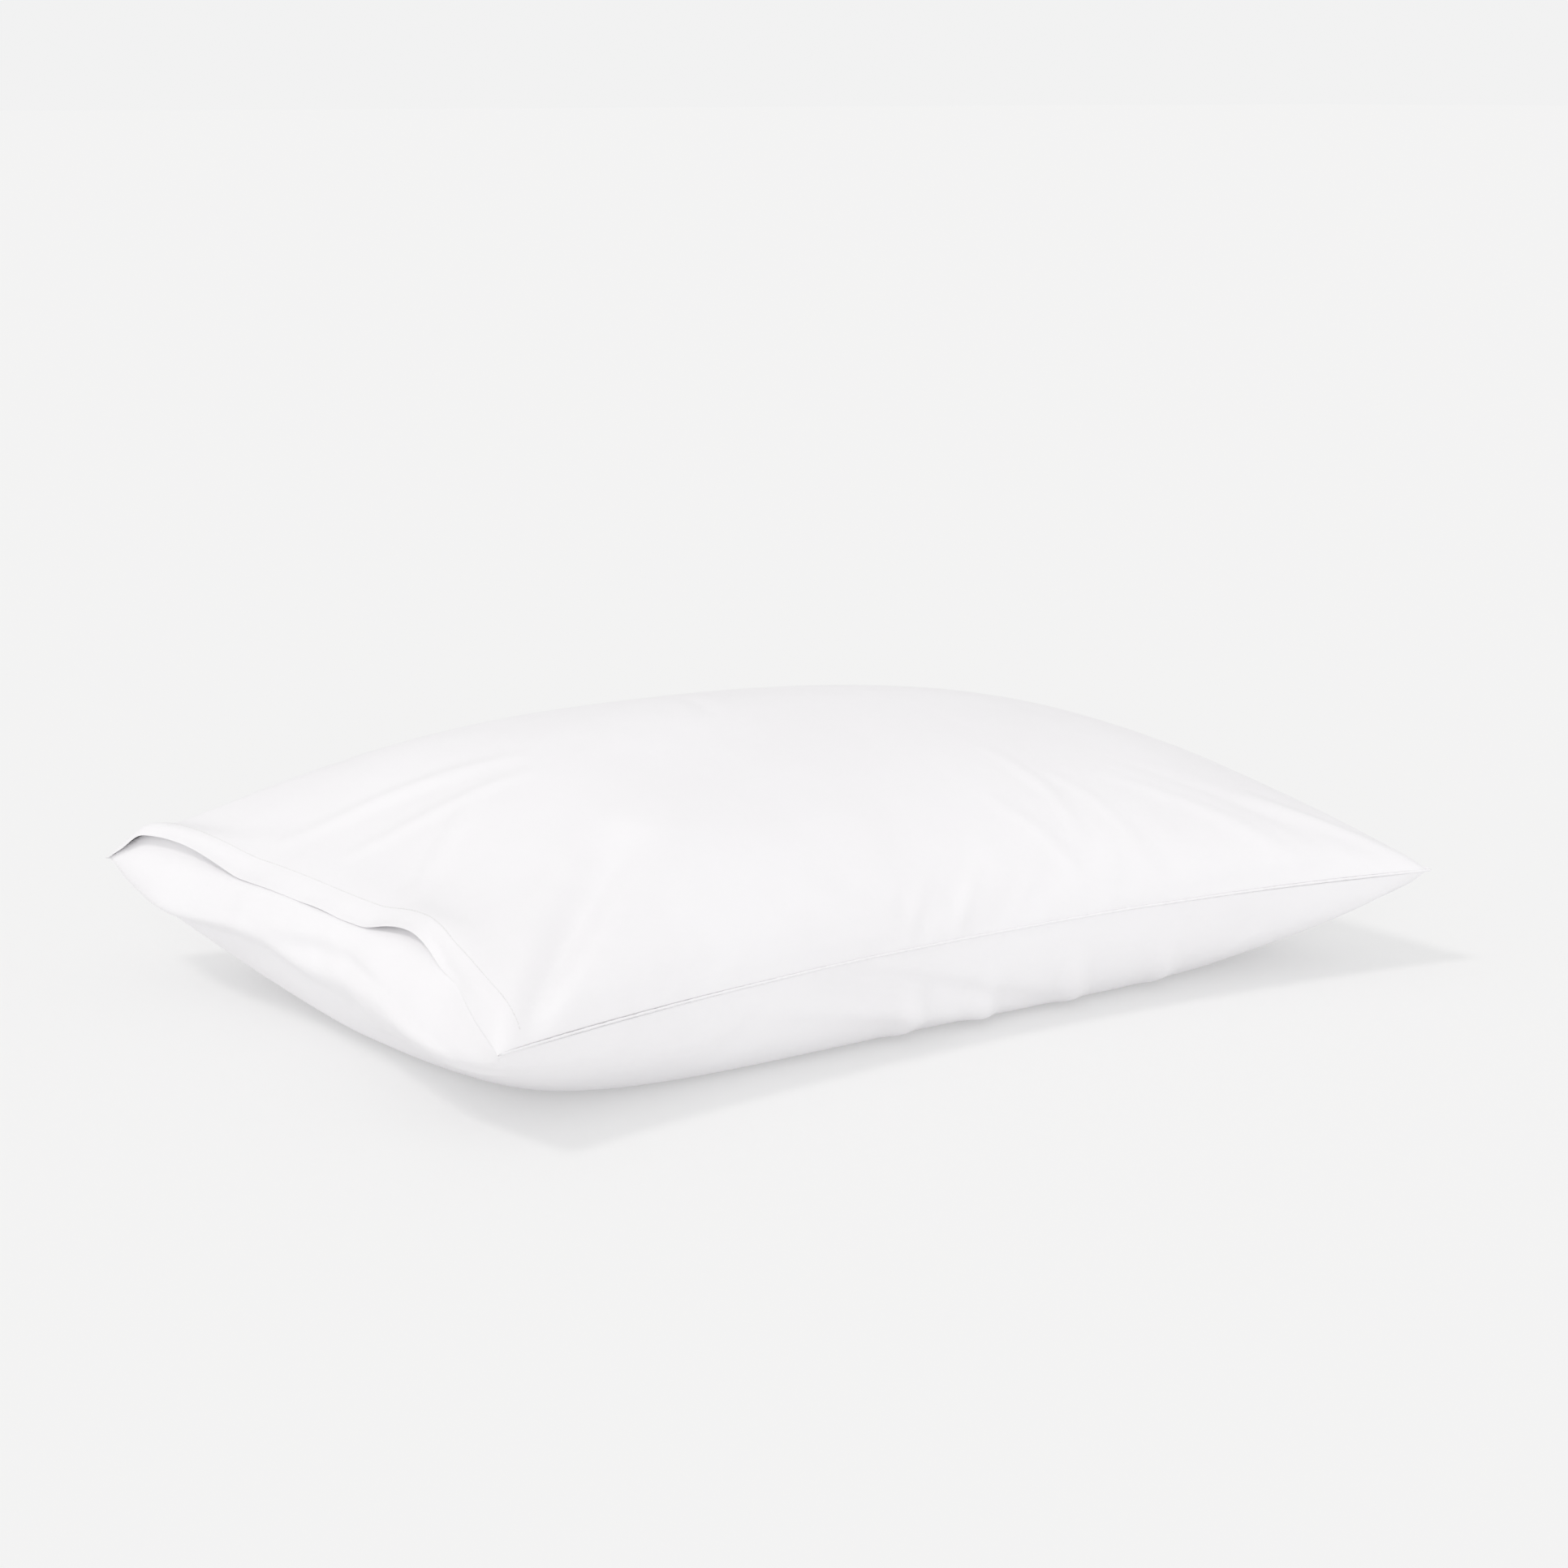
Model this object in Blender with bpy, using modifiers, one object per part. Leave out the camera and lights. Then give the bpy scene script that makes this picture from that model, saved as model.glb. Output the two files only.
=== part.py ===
"""A filled bed pillow in its pillowcase, with an envelope closure.

Metres, +Z up. The pillow lies on the plane z = 0 with its origin under the middle of its outline.
+X runs along its length away from the mouth, -Y is a long side.

Every layer of cloth is one face of the same pillow form, taken a little further in. A place on it
is (s, t): s runs from -1 at the mouth to +1 at the closed end, and t from -1 to +1 across.
"""

import math

import bmesh
import bpy
import numpy as np

# Overall size of the filled pillow, from corner to corner, and from the bed to its crown.
LENGTH = 0.664
WIDTH = 0.470
HEIGHT = 0.166

# Height of the seam line over the bed: at the corners, and half way along each side.
SEAM_AT_CORNERS = 0.060
SEAM_AT_LONG_SIDES = 0.066
SEAM_AT_MOUTH = 0.082
SEAM_AT_CLOSED_END = 0.068
# How far the middle of each side is drawn in from the line between its corners.
DRAWN_IN_LONG_SIDES = 0.026
DRAWN_IN_ENDS = 0.014
# How far the underside would hang below the seam line if the bed did not hold it flat.
BELLY = 0.118
# Half the height over which the underside rounds off into its flat patch.
PATCH_ROUNDING = 0.006
# The crown lies this share of the half length towards the mouth.
CROWN_TO_MOUTH = 0.06

# The swell of each face along and across the pillow: (1 - |s| ** power) ** root.
TOP_ALONG = (1.9, 0.51)
TOP_ACROSS = (1.65, 0.54)
UNDER_ALONG = (2.9, 0.36)
UNDER_ACROSS = (1.7, 0.51)

# The cloths, and the gap that keeps two layers apart.
CASE_CLOTH = 0.0008
TICKING = 0.0008
LABEL_CLOTH = 0.0005
GAP = 0.0003
# The insert is this much shorter and narrower than its case at each edge, and this much lower.
INSERT_EDGE_EASE = 0.012
INSERT_FACE_EASE = 0.0015

# Seams and stitching.
CASE_SEAM_RADIUS = 0.0012
INSERT_SEAM_RADIUS = 0.0010
THREAD_RADIUS = 0.00035
MOUTH_HEM_DEPTH = 0.020
FLAP_DEPTH = 0.150
FLAP_HEM_DEPTH = 0.020
CLOSING_STITCH_LENGTH = 0.160

# Labels, left blank: length along x, width along y, and where their middles lie.
LABEL_SIZE = (0.030, 0.022)
CASE_LABEL_PLACE = (0.230, -0.150)
INSERT_LABEL_PLACE = (0.200, 0.120)

# Steps across each kind of layer.
CASE_STEPS = (32, 22)
INSERT_STEPS = (20, 14)

# Where a row of cloth starts above or below the seam line, clear of the seam's own tube.
CASE_EDGE = CASE_SEAM_RADIUS + 2 * GAP + 0.5 * CASE_CLOTH
INSERT_EDGE = INSERT_SEAM_RADIUS + 2 * GAP + 0.5 * TICKING

# Each layer under the case's top panel lies one cloth and one gap further in. A layer is taken in
# along x, y and z, which on the slopes near a corner brings it less far in than on the crown.
SLOPE_ALLOWANCE = 1.8
LAYER = SLOPE_ALLOWANCE * CASE_CLOTH + GAP
HEM_INSET = LAYER
FLAP_INSET = 2 * LAYER
FLAP_EDGE_INSET = 2 * CASE_SEAM_RADIUS + 2 * GAP
FLAP_HEM_INSET = 3 * LAYER + GAP
CASE_LABEL_INSET = LAYER + INSERT_FACE_EASE
INSERT_TOP_INSET = 4 * LAYER + INSERT_FACE_EASE
INSERT_UNDER_INSET = LAYER + INSERT_FACE_EASE
FILL_INSET = TICKING + GAP


def outline(s, t, inset):
    """Plan of a layer: each half side less the inset, drawn in most at the middle of its length."""
    half_x = LENGTH / 2 - inset
    half_y = WIDTH / 2 - inset
    x = s * (half_x - DRAWN_IN_ENDS * (1 - t * t))
    y = t * (half_y - DRAWN_IN_LONG_SIDES * (1 - s * s))
    return x, y


def seam_height(s, t):
    """Height of the seam line, carried over the whole form: it arches up along every side."""
    ends = np.where(s < 0, SEAM_AT_MOUTH, SEAM_AT_CLOSED_END) - SEAM_AT_CORNERS
    sides = SEAM_AT_LONG_SIDES - SEAM_AT_CORNERS
    return SEAM_AT_CORNERS + sides * (1 - s * s) + ends * (1 - t * t) * s * s


def swell(s, t, along, across):
    """Rise of a face, 1 at the crown and 0 at the seams: a product of two rounded arches."""
    shifted = s + CROWN_TO_MOUTH * (1 - s * s)
    length_arch = np.clip(1 - np.abs(shifted) ** along[0], 0, 1) ** along[1]
    cross_arch = np.clip(1 - np.abs(t) ** across[0], 0, 1) ** across[1]
    return length_arch * cross_arch


def rounded_floor(z):
    """z where it is well over 0, exactly 0 where it is well under, and a parabola between."""
    k = PATCH_ROUNDING
    blend = (z + k) ** 2 / (4 * k)
    return np.where(z > k, z, np.where(z < -k, 0.0, blend))


def top_face(s, t, plan_inset, face_inset, edge):
    """A point on the upper face of the layer that lies plan_inset and face_inset inside the case."""
    x, y = outline(s, t, plan_inset)
    middle = float(seam_height(np.zeros(1), np.zeros(1))[0])
    rise = HEIGHT - middle - edge - face_inset
    z = seam_height(s, t) + edge + rise * swell(s, t, TOP_ALONG, TOP_ACROSS)
    return np.stack([x, y, z], axis=-1)


def under_face(s, t, plan_inset, face_inset, edge):
    """A point on the underside of a layer, flattened where the bed would stop it."""
    x, y = outline(s, t, plan_inset)
    hang = (BELLY - face_inset) * swell(s, t, UNDER_ALONG, UNDER_ACROSS)
    free = seam_height(s, t) - edge - hang
    z = face_inset + rounded_floor(free - face_inset)
    return np.stack([x, y, z], axis=-1)


def eased(u):
    """Turns even steps in -1..1 into steps that crowd towards both ends, where the form is steep."""
    return np.sin(u * math.pi / 2)


def even(s):
    """The inverse of eased: the even step that lands on s."""
    return np.arcsin(np.clip(s, -1, 1)) * 2 / math.pi


def material(name, colour, roughness):
    """A plain cloth finish."""
    made = bpy.data.materials.new(name)
    made.use_nodes = True
    shader = made.node_tree.nodes["Principled BSDF"]
    shader.inputs["Base Color"].default_value = (*colour, 1)
    shader.inputs["Roughness"].default_value = roughness
    shader.inputs["Metallic"].default_value = 0
    return made


def add_object(name, data, finish):
    """Puts a mesh or a curve in the pillow's collection, with its finish."""
    made = bpy.data.objects.new(name, data)
    data.materials.append(finish)
    collection.objects.link(made)
    return made


def steps_between(start, end, count):
    """The panel's own even steps from start to end, so that layers with the same steps nest."""
    every = np.linspace(-1, 1, count + 1)
    least = 0.3 * (every[1] - every[0])
    inner = every[(every > start + least) & (every < end - least)]
    return np.concatenate([[start], inner, [end]])


def grid_mesh(name, s_steps, t_steps, face):
    """A primitive grid, each vertex carried to its place on a face of the form."""
    grid = bmesh.new()
    columns = len(s_steps)
    rows = len(t_steps)
    bmesh.ops.create_grid(grid, x_segments=columns - 1, y_segments=rows - 1, size=1)
    mesh = bpy.data.meshes.new(name)
    grid.to_mesh(mesh)
    grid.free()
    flat = np.empty(len(mesh.vertices) * 3)
    mesh.vertices.foreach_get("co", flat)
    flat = flat.reshape(-1, 3)
    u = np.interp(flat[:, 0], np.linspace(-1, 1, columns), s_steps)
    v = np.interp(flat[:, 1], np.linspace(-1, 1, rows), t_steps)
    placed = face(eased(u), eased(v))
    mesh.vertices.foreach_set("co", placed.ravel())
    mesh.update()
    mesh.shade_smooth()
    return mesh


def cloth(name, s_steps, t_steps, face, thickness, outwards, finish):
    """One layer of cloth: a face of the form given its thickness on the inner side."""
    mesh = grid_mesh(name, s_steps, t_steps, face)
    if not outwards:
        mesh.flip_normals()
    layer = add_object(name, mesh, finish)
    solid = layer.modifiers.new("cloth", "SOLIDIFY")
    solid.thickness = thickness
    solid.offset = -1
    return layer


def tube(name, points, radius, finish, closed=False):
    """A thread or a seam's rolled edge: a round tube along the points given."""
    path = bpy.data.curves.new(name, "CURVE")
    path.dimensions = "3D"
    path.bevel_depth = radius
    path.bevel_resolution = 1
    path.use_fill_caps = not closed
    line = path.splines.new("POLY")
    line.points.add(len(points) - 1)
    rows = np.concatenate([points, np.ones((len(points), 1))], axis=1)
    line.points.foreach_set("co", rows.ravel())
    line.use_cyclic_u = closed
    return add_object(name, path, finish)


def seam_line(s, t, inset):
    """A point on the seam line of a layer."""
    x, y = outline(s, t, inset)
    return np.stack([x, y, seam_height(s, t)], axis=-1)


def share_of_length(distance):
    """The s that lies a distance in from the mouth, at the middle of the width."""
    return -1 + distance / (LENGTH / 2 - DRAWN_IN_ENDS)


def label_steps(place, plan_inset):
    """The steps that a label covers, from its middle and its size."""
    half_x = LENGTH / 2 - plan_inset
    half_y = WIDTH / 2 - plan_inset
    s = [(place[0] + side * LABEL_SIZE[0] / 2) / half_x for side in (-1, 1)]
    t = [(place[1] + side * LABEL_SIZE[1] / 2) / half_y for side in (-1, 1)]
    return np.linspace(*even(np.array(s)), 4), np.linspace(*even(np.array(t)), 4)


def make_case(percale, thread, label_finish):
    """The pillowcase: two panels, the tuck-in flap, the turned hems, three seams and a label."""
    whole = steps_between(-1, 1, CASE_STEPS[0])
    width = steps_between(-1, 1, CASE_STEPS[1])
    cloth("case_top_panel", whole, width,
          lambda s, t: top_face(s, t, 0, 0, CASE_EDGE), CASE_CLOTH, True, percale)
    cloth("case_bottom_panel", whole, width,
          lambda s, t: under_face(s, t, 0, 0, CASE_EDGE), CASE_CLOTH, False, percale)

    hem = steps_between(-1, even(share_of_length(MOUTH_HEM_DEPTH)), CASE_STEPS[0])
    cloth("case_mouth_hem", hem, width,
          lambda s, t: top_face(s, t, HEM_INSET, HEM_INSET, CASE_EDGE), CASE_CLOTH, True, percale)

    flap_end = even(share_of_length(FLAP_DEPTH))
    flap = steps_between(-1, flap_end, CASE_STEPS[0])
    cloth("case_tuck_flap", flap, width,
          lambda s, t: top_face(s, t, FLAP_EDGE_INSET, FLAP_INSET, 0), CASE_CLOTH, True, percale)

    flap_hem_start = even(share_of_length(FLAP_DEPTH - FLAP_HEM_DEPTH))
    flap_hem = steps_between(flap_hem_start, flap_end, CASE_STEPS[0])
    cloth("case_flap_hem", flap_hem, width[1:-1],
          lambda s, t: top_face(s, t, FLAP_EDGE_INSET + LAYER, FLAP_HEM_INSET, 0),
          CASE_CLOTH, True, percale)

    along = eased(whole)
    across = eased(width)
    for name, side in (("case_front_seam", -1), ("case_rear_seam", 1)):
        points = seam_line(along, np.full_like(along, side), CASE_SEAM_RADIUS)
        tube(name, points, CASE_SEAM_RADIUS, percale)
    # The end seam stops short of the two long seams, which run on into the corners.
    clear = 2 * (3 * CASE_SEAM_RADIUS + GAP) / WIDTH
    end = across * (1 - clear)
    points = seam_line(np.ones_like(end), end, CASE_SEAM_RADIUS)
    tube("case_end_seam", points, CASE_SEAM_RADIUS, percale)

    raised = -(THREAD_RADIUS + 2 * GAP)
    stitch_t = across[1:-1]
    stitch_s = np.full_like(stitch_t, share_of_length(MOUTH_HEM_DEPTH - THREAD_RADIUS))
    points = top_face(stitch_s, stitch_t, raised, raised, CASE_EDGE)
    tube("mouth_hem_stitch", points, THREAD_RADIUS, thread)

    length, breadth = label_steps(CASE_LABEL_PLACE, CASE_LABEL_INSET)
    cloth("case_care_label", length, breadth,
          lambda s, t: top_face(s, t, CASE_LABEL_INSET, CASE_LABEL_INSET, CASE_EDGE),
          LABEL_CLOTH, True, label_finish)


def make_insert(ticking, thread, label_finish, fibre):
    """The pillow inside the case: its ticking, edge seam, closing stitch, label and fill."""
    whole = steps_between(-1, 1, INSERT_STEPS[0])
    width = steps_between(-1, 1, INSERT_STEPS[1])
    edge_inset = LAYER + INSERT_EDGE_EASE
    cloth("insert_ticking_top", whole, width,
          lambda s, t: top_face(s, t, edge_inset, INSERT_TOP_INSET, INSERT_EDGE),
          TICKING, True, ticking)
    cloth("insert_ticking_bottom", whole, width,
          lambda s, t: under_face(s, t, edge_inset, INSERT_UNDER_INSET, INSERT_EDGE),
          TICKING, False, ticking)

    along = eased(whole)
    across = eased(width)
    inset = edge_inset + INSERT_SEAM_RADIUS
    # Once round the pillow, with each corner given only once.
    sides = [
        seam_line(along[:-1], np.full(len(along) - 1, -1.0), inset),
        seam_line(np.full(len(across) - 1, 1.0), across[:-1], inset),
        seam_line(along[:0:-1], np.full(len(along) - 1, 1.0), inset),
        seam_line(np.full(len(across) - 1, -1.0), across[:0:-1], inset),
    ]
    tube("insert_edge_seam", np.concatenate(sides), INSERT_SEAM_RADIUS, ticking, closed=True)

    reach = CLOSING_STITCH_LENGTH / WIDTH
    stitch_t = np.linspace(-reach, reach, 13)
    points = seam_line(np.ones_like(stitch_t), stitch_t, edge_inset - THREAD_RADIUS - GAP)
    tube("insert_closing_stitch", points, THREAD_RADIUS, thread)

    over = LABEL_CLOTH + 2 * GAP
    length, breadth = label_steps(INSERT_LABEL_PLACE, edge_inset)
    cloth("insert_care_label", length, breadth,
          lambda s, t: top_face(s, t, edge_inset, INSERT_TOP_INSET - over, INSERT_EDGE),
          LABEL_CLOTH, True, label_finish)

    make_fill(whole, width, edge_inset, fibre)


def make_fill(whole, width, edge_inset, fibre):
    """The fibre fill: an upper and a lower grid sewn to each other round their edges."""
    inset = edge_inset + 2 * INSERT_SEAM_RADIUS + FILL_INSET
    upper = grid_mesh("fill_upper", whole, width,
                      lambda s, t: top_face(s, t, inset, INSERT_TOP_INSET + FILL_INSET, 0))
    lower = grid_mesh("fill_lower", whole, width,
                      lambda s, t: under_face(s, t, inset, INSERT_UNDER_INSET + FILL_INSET, 0))
    lower.flip_normals()
    joined = bmesh.new()
    joined.from_mesh(upper)
    joined.from_mesh(lower)
    bmesh.ops.remove_doubles(joined, verts=joined.verts, dist=0.00005)
    mesh = bpy.data.meshes.new("insert_fill")
    joined.to_mesh(mesh)
    joined.free()
    bpy.data.meshes.remove(upper)
    bpy.data.meshes.remove(lower)
    mesh.shade_smooth()
    add_object("insert_fill", mesh, fibre)


for old in list(bpy.data.objects):
    bpy.data.objects.remove(old, do_unlink=True)

collection = bpy.data.collections.new("bed_pillow")
bpy.context.scene.collection.children.link(collection)

percale_white = material("percale_white", (0.86, 0.86, 0.88), 0.85)
thread_white = material("thread_white", (0.88, 0.88, 0.88), 0.60)
label_white = material("label_white", (0.90, 0.90, 0.90), 0.50)
ticking_white = material("ticking_white", (0.84, 0.84, 0.83), 0.90)
fibre_white = material("fibre_white", (0.92, 0.92, 0.90), 1.00)

make_case(percale_white, thread_white, label_white)
make_insert(ticking_white, thread_white, label_white, fibre_white)
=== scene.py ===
# %% [markdown]
# # A filled bed pillow in its pillowcase
#
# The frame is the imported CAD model: it says where every layer of the pillow lies. This script makes
# the cloth that is seen around it. Each sheet is a grid of points computed with numpy on one pillow
# form, Blender's cloth simulation gives the case its puckers, and a short list of folds adds the
# large creases that hands leave when a pillow is put down.

# %% Load the frame
import math

import bpy
import numpy as np
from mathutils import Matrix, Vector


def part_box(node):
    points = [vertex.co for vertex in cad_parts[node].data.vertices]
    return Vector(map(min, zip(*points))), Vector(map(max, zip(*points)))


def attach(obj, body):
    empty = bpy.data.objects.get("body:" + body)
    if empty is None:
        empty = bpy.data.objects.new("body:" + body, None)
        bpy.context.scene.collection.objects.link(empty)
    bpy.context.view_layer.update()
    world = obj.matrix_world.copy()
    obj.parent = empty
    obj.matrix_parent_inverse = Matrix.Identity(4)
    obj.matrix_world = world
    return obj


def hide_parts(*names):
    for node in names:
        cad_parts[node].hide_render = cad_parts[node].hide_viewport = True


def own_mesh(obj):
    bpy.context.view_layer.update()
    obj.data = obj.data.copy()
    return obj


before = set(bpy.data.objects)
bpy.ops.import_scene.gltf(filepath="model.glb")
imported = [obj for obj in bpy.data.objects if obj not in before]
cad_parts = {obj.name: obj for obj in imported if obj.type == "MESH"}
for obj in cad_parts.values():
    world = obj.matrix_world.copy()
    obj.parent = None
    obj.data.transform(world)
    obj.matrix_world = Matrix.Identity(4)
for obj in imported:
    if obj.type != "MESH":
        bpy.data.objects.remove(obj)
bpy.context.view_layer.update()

# %% [markdown]
# ## The pillow's form
#
# A filled pillow is two sheets sewn round their edges and swollen by the fill. A place on either
# sheet is (s, t): s runs from -1 at the mouth to +1 at the closed end, t from -1 at the near long
# side to +1 at the far one. The sides draw in between the corners, because the cloth that rises over
# the fill has to come from somewhere. The seam line floats above the bed, and each face swells away
# from it by a product of two rounded arches. The insert stops short of the mouth, so there the top
# lies almost flat, like the end of a half empty bag. The bed flattens the underside.

# %% Sizes of the form
panel_low, panel_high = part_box("case_top_panel")
HALF_X, HALF_Y, CROWN = panel_high[0], panel_high[1], panel_high[2]
# How far each side is drawn in at its middle.
DRAWN_MOUTH, DRAWN_END = 0.016, 0.009
DRAWN_NEAR, DRAWN_FAR = 0.028, 0.024
# Height of the seam line at the four corners and half way along the sides.
Z_NEAR_MOUTH, Z_FAR_MOUTH, Z_NEAR_END, Z_FAR_END = 0.058, 0.069, 0.061, 0.060
Z_MID_NEAR, Z_MID_FAR, Z_MID_MOUTH, Z_MID_END = 0.063, 0.072, 0.087, 0.068
# Arches (1 - |x| ** power) ** root: at the crown, and what they turn into at the mouth and the end.
ALONG_POWER, ALONG_POWER_MOUTH, ALONG_POWER_END = 1.9, 2.12, 2.17
ALONG_ROOT, ALONG_ROOT_MOUTH, ALONG_ROOT_END = 0.51, 1.6, 0.487
ACROSS_POWER, ACROSS_POWER_MOUTH, ACROSS_POWER_END = 1.62, 3.46, 1.95
ACROSS_ROOT = 0.54
# How late the arches change on the way to the mouth and to the end.
LATE_TO_MOUTH, LATE_TO_END = 1.56, 1.5
UNDER_ALONG, UNDER_ACROSS = (2.9, 0.36), (1.7, 0.51)
BELLY = 0.119
PATCH_ROUNDING = 0.006
# The crown sits a little towards the mouth and the far side.
CROWN_SHIFT_S, CROWN_SHIFT_T = 0.068, -0.056


def outline(s, t, inset=0.0):
    """Plan: each half side less the inset, drawn in by a parabola with its depth at mid side."""
    drawn_x = np.where(s < 0, DRAWN_MOUTH, DRAWN_END)
    drawn_y = np.where(t < 0, DRAWN_NEAR, DRAWN_FAR)
    x = s * (HALF_X - inset - drawn_x * (1 - t * t))
    y = t * (HALF_Y - inset - drawn_y * (1 - s * s))
    return x, y


def seam_height(s, t):
    """Corner heights blended over the plan, plus a parabolic lift that is full at each mid side."""
    near = (Z_NEAR_MOUTH * (1 - s) + Z_NEAR_END * (1 + s)) / 2
    far = (Z_FAR_MOUTH * (1 - s) + Z_FAR_END * (1 + s)) / 2
    base = (near * (1 - t) + far * (1 + t)) / 2
    lift_near = Z_MID_NEAR - (Z_NEAR_MOUTH + Z_NEAR_END) / 2
    lift_far = Z_MID_FAR - (Z_FAR_MOUTH + Z_FAR_END) / 2
    lift_mouth = Z_MID_MOUTH - (Z_NEAR_MOUTH + Z_FAR_MOUTH) / 2
    lift_end = Z_MID_END - (Z_NEAR_END + Z_FAR_END) / 2
    sides = (1 - s * s) * (lift_near * (1 - t) + lift_far * (1 + t)) / 2
    ends = (1 - t * t) * (lift_mouth * (1 - s) + lift_end * (1 + s)) / 2 * s * s
    return base + sides + ends


def arch(x, power, root):
    """1 in the middle, 0 at both ends: (1 - |x| ** power) ** root."""
    return np.clip(1 - np.abs(x) ** power, 0, 1) ** root


def moved_crown(s, t):
    """(s, t) with the crown's place carried to (0, 0), and the edges left where they are."""
    return s + CROWN_SHIFT_S * (1 - s * s), t + CROWN_SHIFT_T * (1 - t * t)


def top_swell(s, t):
    """An arch along times an arch across, whose powers change from the crown to either end."""
    s, t = moved_crown(s, t)
    to_mouth = np.clip(-s, 0, 1) ** LATE_TO_MOUTH
    to_end = np.clip(s, 0, 1) ** LATE_TO_END
    power = ALONG_POWER + (ALONG_POWER_MOUTH - ALONG_POWER) * to_mouth
    power = power + (ALONG_POWER_END - ALONG_POWER) * to_end
    root = ALONG_ROOT + (ALONG_ROOT_MOUTH - ALONG_ROOT) * to_mouth * (1 - t * t)
    root = root + (ALONG_ROOT_END - ALONG_ROOT) * to_end
    across = ACROSS_POWER + (ACROSS_POWER_MOUTH - ACROSS_POWER) * to_mouth
    across = across + (ACROSS_POWER_END - ACROSS_POWER) * to_end
    return arch(s, power, root) * arch(t, across, ACROSS_ROOT)


def under_swell(s, t):
    """The underside's arch along times its arch across."""
    s, t = moved_crown(s, t)
    return arch(s, *UNDER_ALONG) * arch(t, *UNDER_ACROSS)


def rounded_floor(z, rounding=PATCH_ROUNDING):
    """z where it is well over 0, 0 where it is well under, and a parabola between."""
    blend = (z + rounding) ** 2 / (4 * rounding)
    return np.where(z > rounding, z, np.where(z < -rounding, 0.0, blend))


def top_form(s, t, inset=0.0, sunk=0.0):
    """Upper face: the seam line's height plus the rise of the crown times the swell."""
    x, y = outline(s, t, inset)
    rise = CROWN - float(seam_height(0.0, 0.0))
    return np.stack([x, y, seam_height(s, t) + rise * top_swell(s, t) - sunk], axis=-1)


def under_form(s, t, inset=0.0, sunk=0.0):
    """Underside: the seam line's height less the belly times the swell, stopped by the bed."""
    x, y = outline(s, t, inset)
    z = seam_height(s, t) - (BELLY - sunk) * under_swell(s, t)
    return np.stack([x, y, sunk + rounded_floor(z - sunk)], axis=-1)


# %% [markdown]
# ## The cut cloth
#
# Each panel is cut flat, 70 cm by 50 cm. Points of the cut are spread evenly over it, and each one
# goes to the place on the form that lies the same share of the way over it. Near the sewn edges
# the form is shorter than the cut, and that spare cloth is what puckers.

# %% The panels as grids
CUT_LENGTH, CUT_WIDTH = 0.700, 0.500
CELLS_LONG, CELLS_WIDE = 140, 80
BLEND_POWER = 3


def even_share(curve):
    """Distance along a run of points, as a share of the whole from -1 to 1."""
    steps = np.linalg.norm(np.diff(curve, axis=0), axis=1)
    run = np.concatenate([[0], np.cumsum(steps)])
    return run / run[-1] * 2 - 1


def form_places(face):
    """For an even grid over the cut: the (s, t) that lies the same share of the way over the form.

    On the middle lines the share is by length over the form, on the sewn edges it is the plain
    share, and between them the two are blended."""
    fine = np.sin(np.linspace(-1, 1, 801) * math.pi / 2)
    share_s = even_share(face(fine, np.zeros_like(fine)))
    share_t = even_share(face(np.zeros_like(fine), fine))
    u, v = np.meshgrid(np.linspace(-1, 1, CELLS_LONG + 1), np.linspace(-1, 1, CELLS_WIDE + 1),
                       indexing="ij")
    over_s, over_t = np.interp(u, share_s, fine), np.interp(v, share_t, fine)
    blend_s, blend_t = 1 - np.abs(v) ** BLEND_POWER, 1 - np.abs(u) ** BLEND_POWER
    return u, v, u + (over_s - u) * blend_s, v + (over_t - v) * blend_t


u_grid, v_grid, top_s, top_t = form_places(top_form)
_, _, under_s, under_t = form_places(under_form)
top_points = top_form(top_s, top_t)
under_points = under_form(under_s, under_t)
cut_x, cut_y = u_grid * CUT_LENGTH / 2, v_grid * CUT_WIDTH / 2
across_top = np.linalg.norm(np.diff(top_points[CELLS_LONG // 2], axis=0), axis=1).sum()
along_top = np.linalg.norm(np.diff(top_points[:, CELLS_WIDE // 2], axis=0), axis=1).sum()
along_seam = np.linalg.norm(np.diff(top_points[:, 0], axis=0), axis=1).sum()
print(f"over the crown {along_top:.3f} x {across_top:.3f} m, along the near seam {along_seam:.3f} m")

# %% [markdown]
# ## Cloth simulation
#
# The two panels are sewn into one closed bag and handed to Blender's Cloth. Its springs take their
# length from the flat cut, so the bag has a little more cloth than the form has surface. A light
# pressure fills it, a weak hold keeps it near the form, and the spare cloth buckles where it does on
# a real pillow: at the sewn edges and in the corners. The part that lies on the bed is held fast.

# %% Sew the bag
CELLS = (CELLS_LONG + 1) * (CELLS_WIDE + 1)
CUT_PLAN_HEIGHT = 0.06


def sewn_indices():
    """Index grids of the two panels in one bag: the underside shares the top's edge points."""
    top = np.arange(CELLS).reshape(CELLS_LONG + 1, CELLS_WIDE + 1)
    under = top.copy()
    inner = (CELLS_LONG - 1) * (CELLS_WIDE - 1)
    under[1:-1, 1:-1] = CELLS + np.arange(inner).reshape(CELLS_LONG - 1, CELLS_WIDE - 1)
    return top, under


def quads(index, flipped=False):
    """The four corners of each cell of an index grid, in order round the cell."""
    rings = [index[:-1, :-1], index[1:, :-1], index[1:, 1:], index[:-1, 1:]]
    if flipped:
        rings.reverse()
    return np.stack([ring.ravel() for ring in rings], axis=1)


def mesh_object(name, points, faces):
    """A new object at the origin with the points and faces (an array or a list), shaded smooth."""
    if isinstance(faces, np.ndarray):
        faces = faces.tolist()
    mesh = bpy.data.meshes.new(name)
    mesh.from_pydata(np.asarray(points).reshape(-1, 3).tolist(), [], faces)
    mesh.update()
    mesh.shade_smooth()
    made = bpy.data.objects.new(name, mesh)
    bpy.context.scene.collection.objects.link(made)
    return made


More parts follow.
